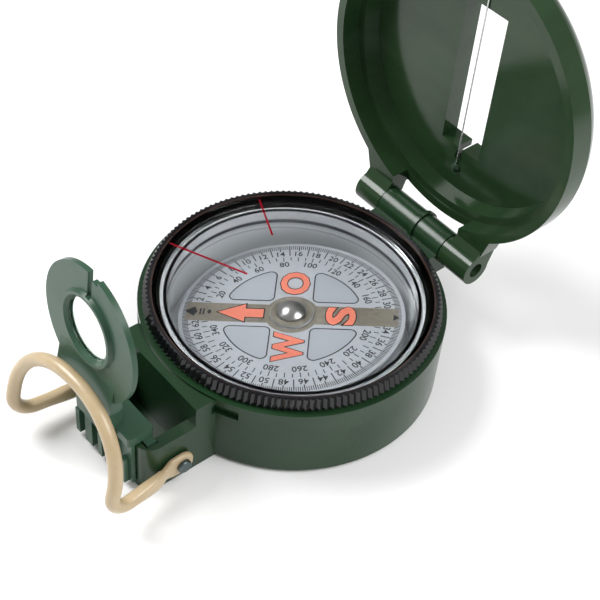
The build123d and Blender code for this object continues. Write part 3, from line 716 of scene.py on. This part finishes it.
def add_thumb_loop():
    """Bent wire whose two ends are hammered flat into eyes round the rivets."""
    rise = LOOP_HEIGHT * cos(LOOP_LEAN)
    lean = LOOP_HEIGHT * sin(LOOP_LEAN)
    sides = {}
    for side, bend_y in LOOP_BENDS.items():
        sides[side] = [
            Vector((side * EYE_X, RIVET_Y + EYE_RADIUS, RIVET_Z)),
            Vector((side * EYE_X, RIVET_Y - EYE_STRAIGHT, RIVET_Z)),
            Vector((side * (EYE_X + NECK_OUT), RIVET_Y - NECK_BACK, RIVET_Z + NECK_UP)),
            Vector((side * LOOP_HALF_WIDTH, bend_y, BEND_Z)),
            Vector((side * LOOP_HALF_WIDTH, bend_y + lean, BEND_Z + rise)),
        ]
    corners = sides[1] + sides[-1][::-1]
    path = rounded_path(corners, LOOP_CORNER_RADII, LOOP_ARC_STEP)
    places, distances = evenly(path, LOOP_RING_SPACING)
    total = distances[-1]
    tangents = [
        (places[min(i + 1, len(places) - 1)] - places[max(i - 1, 0)]).normalized()
        for i in range(len(places))
    ]
    thick = Vector((1, 0, 0))
    thicks = []
    for tangent in tangents:
        thick = (thick - tangent * thick.dot(tangent)).normalized()
        thicks.append(thick)
    # the strip has to arrive flat at the second rivet, so the turn still missing is spread out
    last = thicks[-1]
    wanted = Vector((1, 0, 0)) if last.x > 0 else Vector((-1, 0, 0))
    error = math.atan2(last.cross(wanted).dot(tangents[-1]), last.dot(wanted))
    mesh = bmesh.new()
    around = 20
    rings = []
    for place, distance, tangent, thick in zip(places, distances, tangents, thicks):
        share = min(1.0, max(0.0, (distance / total - 0.3) / 0.4))
        thick = Matrix.Rotation(error * share, 3, tangent) @ thick
        tall = tangent.cross(thick)
        nearest = min(distance, total - distance) - EYE_RADIUS
        half_thick, half_tall = station(nearest)
        # flat stretches get squarer edges than the round wire
        flatness = min(1.0, abs(half_tall - half_thick))
        power = 2 / (2 + 2.2 * flatness)
        ring = []
        for index in range(around):
            turn = 2 * pi * index / around
            c, s = cos(turn), sin(turn)
            x = math.copysign(abs(c) ** power, c) * half_thick
            y = math.copysign(abs(s) ** power, s) * half_tall
            ring.append(mesh.verts.new((place + thick * x + tall * y) * MM))
        rings.append(ring)
    join_rings(mesh, rings)
    loop = finish_piece("thumb_loop_wire", mesh, TAN, "loop_body", smooth=True)
    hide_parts("thumb_loop")


# ------------------------------------------------------------------ stage, camera and light

# The camera stands over the right-hand side of the lens end and looks down at the dial.
CAMERA_AZIMUTH = radians(46.1)
CAMERA_ELEVATION = radians(45.25)
CAMERA_ROLL = radians(5.9)
CAMERA_DISTANCE = 250 * MM
CAMERA_RIGHT = 2.34 * MM
CAMERA_UP = 10.0 * MM
FOCAL_SHARE = 2.2067


def add_camera():
    back = Vector((
        sin(CAMERA_AZIMUTH) * cos(CAMERA_ELEVATION),
        -cos(CAMERA_AZIMUTH) * cos(CAMERA_ELEVATION),
        sin(CAMERA_ELEVATION),
    ))
    level = Vector((cos(CAMERA_AZIMUTH), sin(CAMERA_AZIMUTH), 0))
    upright = back.cross(level)
    right = cos(CAMERA_ROLL) * level + sin(CAMERA_ROLL) * upright
    up = -sin(CAMERA_ROLL) * level + cos(CAMERA_ROLL) * upright
    data = bpy.data.cameras.new("camera")
    data.sensor_width = 36
    data.lens = FOCAL_SHARE * data.sensor_width
    data.clip_start = 0.01
    camera = bpy.data.objects.new("camera", data)
    turn = Matrix((right, up, back)).transposed().to_4x4()
    place = back * CAMERA_DISTANCE + right * CAMERA_RIGHT + up * CAMERA_UP
    camera.matrix_world = Matrix.Translation(place) @ turn
    bpy.context.scene.collection.objects.link(camera)
    bpy.context.scene.camera = camera


WORLD_STRENGTH = 0.42
FLOOR_HALF = 1.5
FLOOR_DROP = 0.2 * MM
LIGHT_TARGET = (0, 0, 0.01)


def add_area(name, place, target, size, power):
    """A soft rectangular light that faces a target."""
    data = bpy.data.lights.new(name, "AREA")
    data.shape = "RECTANGLE"
    data.size, data.size_y = size
    data.energy = power
    light = bpy.data.objects.new(name, data)
    direction = Vector(target) - Vector(place)
    light.rotation_euler = direction.to_track_quat("-Z", "Y").to_euler()
    light.location = place
    bpy.context.scene.collection.objects.link(light)


def add_stage():
    """A plain pale floor and soft studio light."""
    mesh = bpy.data.meshes.new("floor")
    half = FLOOR_HALF
    mesh.from_pydata(
        [(-half, -half, 0), (half, -half, 0), (half, half, 0), (-half, half, 0)], [], [(0, 1, 2, 3)]
    )
    floor = bpy.data.objects.new("floor", mesh)
    floor.location.z = -FLOOR_DROP
    bpy.context.scene.collection.objects.link(floor)
    pale = Nodes("floor_pale")
    pale.colour(pale.ramp(pale.noise(8, 3), [(0.3, (0.88, 0.88, 0.88)), (0.7, (0.91, 0.91, 0.91))]))
    pale.set(Roughness=0.85, Specular_IOR_Level=0.1)
    mesh.materials.append(pale.material)
    world = bpy.data.worlds.new("studio")
    bpy.context.scene.world = world
    world.use_nodes = True
    background = world.node_tree.nodes["Background"]
    background.inputs["Color"].default_value = (1, 1, 1, 1)
    background.inputs["Strength"].default_value = WORLD_STRENGTH
    add_area("key", (-0.30, -0.20, 0.42), LIGHT_TARGET, (0.26, 0.26), 3.0)
    add_area("fill", (0.32, 0.12, 0.42), LIGHT_TARGET, (0.3, 0.3), 2.0)
    bpy.context.scene.view_settings.view_transform = "Standard"


add_camera()
add_stage()
dress_cad_nodes()
add_scales()
add_windows()
add_needle_print()
add_lens()
add_thumb_loop()
